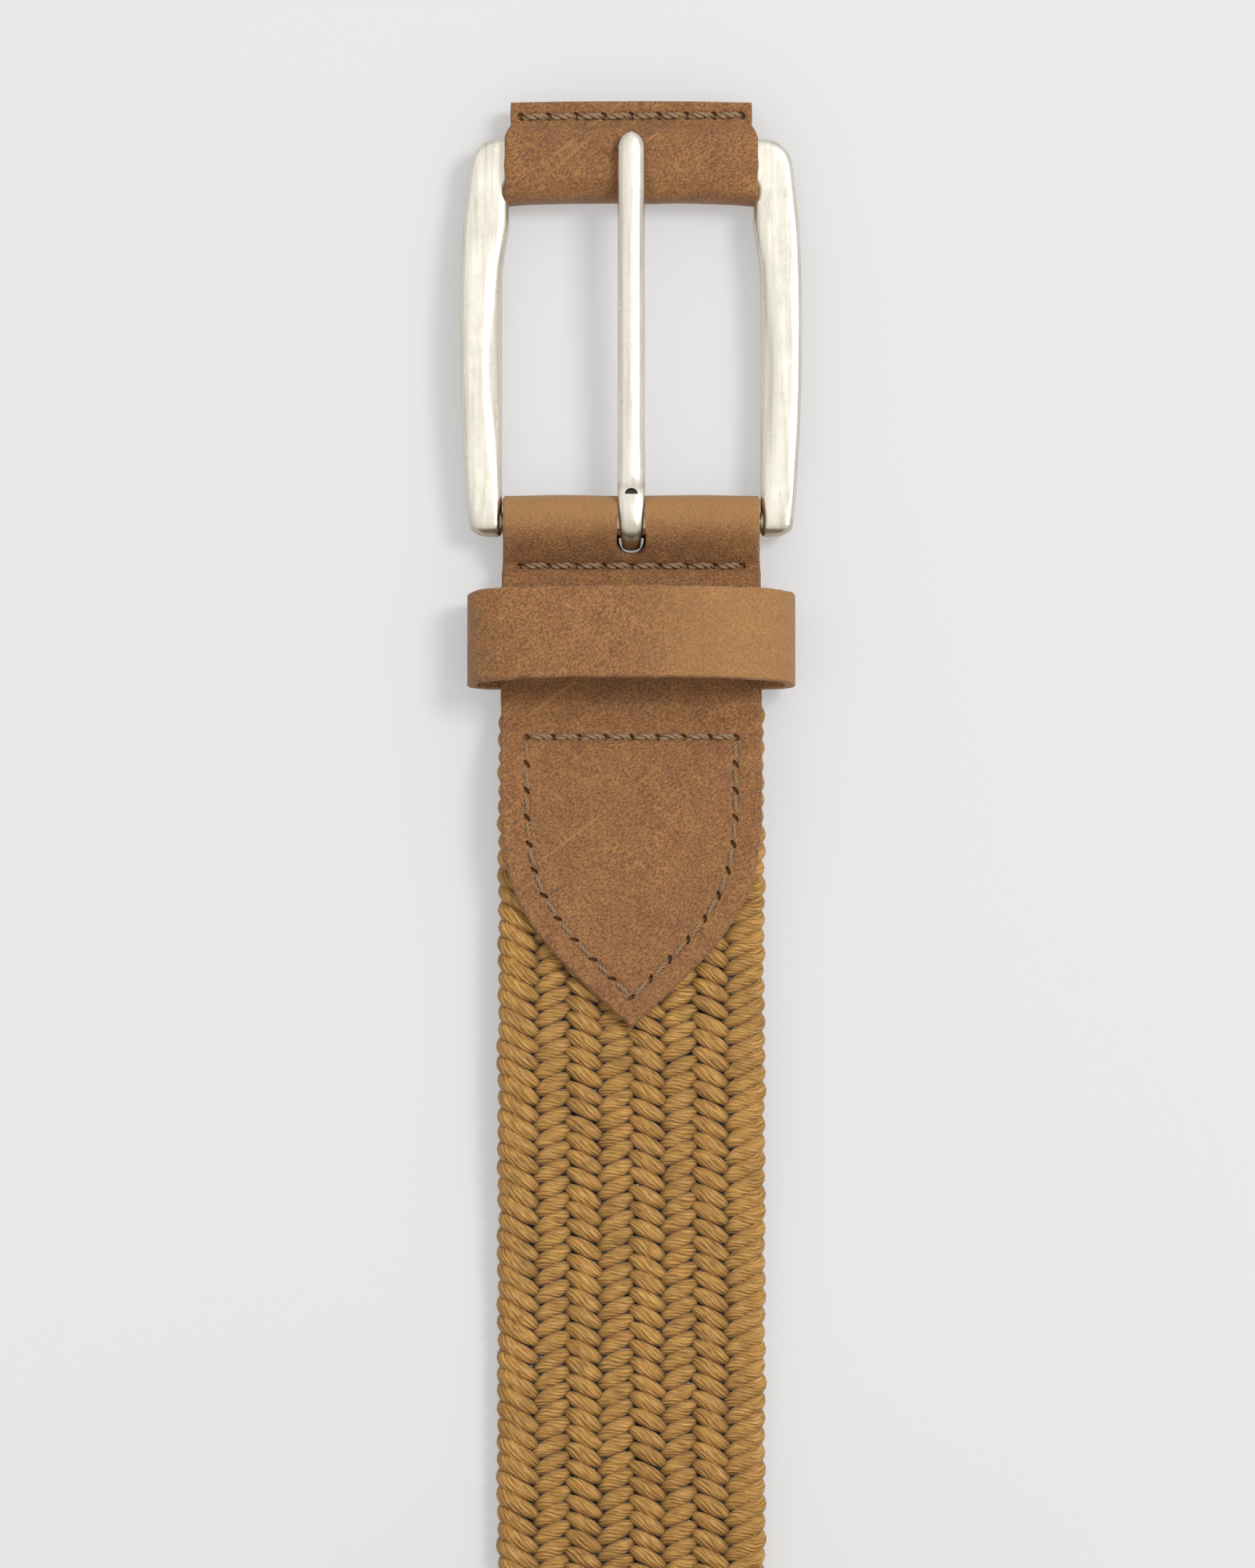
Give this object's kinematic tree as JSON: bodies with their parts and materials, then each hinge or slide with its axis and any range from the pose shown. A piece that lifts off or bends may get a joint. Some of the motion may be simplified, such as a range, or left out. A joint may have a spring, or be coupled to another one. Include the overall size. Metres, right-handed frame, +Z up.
{
  "type": "woven dress belt",
  "caption": "Woven elastic strap with leather ends, a heel-bar buckle with a leather-sleeved front bar, a prong and a leather keeper, the free end rolled up.",
  "frame": {"origin": "on the floor under the middle of the belt's bounding box", "axes": "+Z up from the floor the belt lies on, +Y along the strap towards the buckle's front bar, +X across the strap; the prong hinge lies parallel to X"},
  "size_m": [0.0444, 0.3, 0.0897],
  "materials": {
    "buckle_metal": "satin antique nickel",
    "prong_metal": "satin antique nickel",
    "sleeve_leather": "waxed nubuck",
    "chape_leather": "waxed nubuck",
    "keeper_leather": "waxed nubuck",
    "tip_leather": "waxed nubuck",
    "woven_cord": "matt twisted rayon cord",
    "thread": "waxed polyester"
  },
  "bodies": {
    "strap": {"chape_leather": "chape_leather", "fold_stitching": "thread", "shield_stitching": "thread", "braided_strap": "woven_cord", "tip_front": "tip_leather", "tip_back": "tip_leather", "tip_stitching": "thread"},
    "buckle": {"buckle_frame": "buckle_metal", "front_bar_sleeve": "sleeve_leather", "sleeve_stitching": "thread"},
    "prong": {"prong": "prong_metal"},
    "keeper": {"keeper_loop": "keeper_leather"}
  },
  "joints": [
    {"name": "buckle_hinge", "type": "hinge", "parent": "strap", "child": "buckle", "pos_m": [0, 0.09344, 0.0037], "axis": [1, 0, 0], "range_deg": [-60, 10]},
    {"name": "prong_hinge", "type": "hinge", "parent": "buckle", "child": "prong", "pos_m": [0, 0.09344, 0.0037], "axis": [1, 0, 0], "range_deg": [0, 50]},
    {"name": "keeper_slide", "type": "slide", "parent": "strap", "child": "keeper", "axis": [0, 1, 0], "range_m": [-0.0015, 0.0018]}
  ]
}
